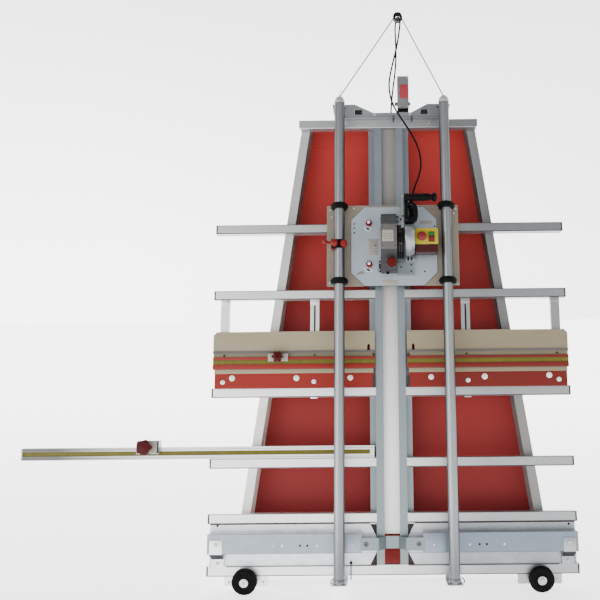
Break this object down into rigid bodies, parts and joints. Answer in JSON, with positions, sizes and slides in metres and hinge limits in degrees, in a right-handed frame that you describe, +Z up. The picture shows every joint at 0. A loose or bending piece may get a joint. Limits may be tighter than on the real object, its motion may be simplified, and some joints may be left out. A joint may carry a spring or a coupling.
{
  "type": "vertical panel saw",
  "caption": "Leaning panel saw frame with a counterbalanced saw carriage on two guide tubes, a turntable, a mid-fence, a ruler bar and a folding rear stand.",
  "frame": {"origin": "middle of the bounding box on the floor, measured without the cord", "axes": "+Z up, +X to the user's right, -Y towards the user; the frame leans back 12 degrees towards +Y"},
  "size_m": [2.315, 0.9006, 2.4541],
  "materials": {
    "zinc": "satin zinc plate",
    "red_panel": "satin red coating",
    "red_plastic": "moulded, satin",
    "steel_tube": "ground, satin",
    "aluminium": "anodised, satin",
    "board": "speckled hammer finish",
    "fence_beige": "coated board, matt",
    "fence_red": "satin orange-red",
    "black_plastic": "moulded, satin",
    "black_rubber": "matt",
    "tyre": "matt",
    "grey_metal": "satin grey",
    "motor": "cast, satin",
    "yellow": "satin yellow over a red box",
    "green": "satin",
    "red_button": "satin",
    "blade": "ground",
    "cast": "bare steel bar"
  },
  "bodies": {
    "frame": {"leg_left": "zinc", "leg_right": "zinc", "crossbar": "zinc", "upper_rails": "zinc", "fence_rail": "zinc", "low_rail": "zinc", "ledge_rail": "zinc", "bottom_rail": "zinc", "rail_end_caps": "red_plastic", "column_left": "zinc", "column_right": "zinc", "backing_strip": "aluminium", "rear_panel": "red_panel", "ledge": "zinc", "link_strap": "zinc", "end_brackets": "zinc", "guide_tube_left": "steel_tube", "guide_tube_right": "steel_tube", "tube_caps": "black_plastic", "top_bracket": "zinc", "tube_feet": "zinc", "cord_hanger": "steel_tube", "junction_box": "black_plastic", "wheel_brackets": "zinc", "fence_posts": "zinc", "fence_boards": "fence_beige", "fence_track": "aluminium", "fence_faces": "fence_red", "ruler_bar": "aluminium", "stand_beam": "zinc", "frame_bolts": "zinc", "power_cord": "black_rubber"},
    "carriage": {"carriage_board": "board", "guide_rings": "black_plastic", "lock_clamp": "black_plastic"},
    "lock": {"lock_knob": "red_plastic"},
    "turntable": {"turntable_plate": "aluminium", "blade_guard": "grey_metal", "saw_motor": "motor", "top_handle": "black_plastic", "side_grip": "black_plastic", "switch_box": "yellow", "saw_bracket": "zinc"},
    "blade": {"saw_blade": "blade"},
    "depth_screw": {"depth_knob": "red_plastic"},
    "upper_pin": {"index_pin_upper": "red_plastic"},
    "lower_pin": {"index_pin_lower": "red_plastic"},
    "start": {"start_button": "green"},
    "stop": {"stop_button": "red_button"},
    "emergency": {"emergency_button": "red_button"},
    "fence_slider": {"fence_stop": "aluminium"},
    "fence_screw": {"fence_stop_knob": "red_plastic"},
    "ruler_slider": {"ruler_stop": "aluminium"},
    "ruler_screw": {"ruler_stop_knob": "red_plastic"},
    "wheel_left": {"tyre_left": "tyre", "hub_left": "aluminium"},
    "wheel_right": {"tyre_right": "tyre", "hub_right": "aluminium"},
    "stand": {"stand_frame": "zinc"},
    "balance": {"counterweights": "cast"}
  },
  "joints": [
    {"name": "carriage_slide", "type": "slide", "parent": "frame", "child": "carriage", "axis": [0, 0.2079, 0.9781], "range_m": [-1.175, 0.4], "deforming": ["power_cord"]},
    {"name": "counterweight_slide", "type": "slide", "parent": "frame", "child": "balance", "axis": [0, 0.2079, 0.9781], "range_m": [-0.4, 1.175]},
    {"name": "turntable_turn", "type": "hinge", "parent": "carriage", "child": "turntable", "pos_m": [0.4155, -0.09763, 1.40215], "axis": [0, -0.9781, 0.2079], "range_deg": [0, 90]},
    {"name": "blade_spin", "type": "hinge", "parent": "turntable", "child": "blade", "pos_m": [0.3955, -0.14105, 1.42876], "axis": [1, 0, 0], "continuous": true},
    {"name": "depth_screw_turn", "type": "hinge", "parent": "turntable", "child": "depth_screw", "pos_m": [0.4045, -0.24517, 1.33333], "axis": [0, -0.9781, 0.2079], "range_deg": [0, 300]},
    {"name": "upper_pin_pull", "type": "slide", "parent": "turntable", "child": "upper_pin", "axis": [0, -0.9781, 0.2079], "range_m": [0, 0.008], "stiffness_N_per_m": 300},
    {"name": "lower_pin_pull", "type": "slide", "parent": "turntable", "child": "lower_pin", "axis": [0, -0.9781, 0.2079], "range_m": [0, 0.008], "stiffness_N_per_m": 300},
    {"name": "start_press", "type": "slide", "parent": "turntable", "child": "start", "axis": [0, 0.9781, -0.2079], "range_m": [0, 0.004], "stiffness_N_per_m": 400},
    {"name": "stop_press", "type": "slide", "parent": "turntable", "child": "stop", "axis": [0, 0.9781, -0.2079], "range_m": [0, 0.004], "stiffness_N_per_m": 400},
    {"name": "emergency_press", "type": "slide", "parent": "turntable", "child": "emergency", "axis": [0, 0.9781, -0.2079], "range_m": [0, 0.004], "stiffness_N_per_m": 400},
    {"name": "lock_turn", "type": "hinge", "parent": "carriage", "child": "lock", "pos_m": [0.1635, -0.16827, 1.41615], "axis": [0, -0.9781, 0.2079], "range_deg": [0, 75]},
    {"name": "fence_stop_slide", "type": "slide", "parent": "frame", "child": "fence_slider", "axis": [1, 0, 0], "range_m": [-0.22, 0.11]},
    {"name": "fence_stop_clamp", "type": "hinge", "parent": "fence_slider", "child": "fence_screw", "pos_m": [-0.0805, -0.19046, 0.94139], "axis": [0, -0.9781, 0.2079], "range_deg": [0, 180]},
    {"name": "ruler_stop_slide", "type": "slide", "parent": "frame", "child": "ruler_slider", "axis": [1, 0, 0], "range_m": [-0.48, 0.8]},
    {"name": "ruler_stop_clamp", "type": "hinge", "parent": "ruler_slider", "child": "ruler_screw", "pos_m": [-0.6325, -0.24797, 0.57463], "axis": [0, -0.9781, 0.2079], "range_deg": [0, 180]},
    {"name": "wheel_left_roll", "type": "hinge", "parent": "frame", "child": "wheel_left", "pos_m": [-0.2045, -0.35929, 0.0508], "axis": [0, 1, 0], "continuous": true},
    {"name": "wheel_right_roll", "type": "hinge", "parent": "frame", "child": "wheel_right", "pos_m": [0.9955, -0.35929, 0.0508], "axis": [0, 1, 0], "continuous": true},
    {"name": "stand_fold", "type": "hinge", "parent": "frame", "child": "stand", "pos_m": [0.3955, 0.1297, 1.24036], "axis": [1, 0, 0], "range_deg": [-24, 0]}
  ],
  "couplings": [
    {"joint": "counterweight_slide", "follows": "carriage_slide", "ratio": -1}
  ]
}
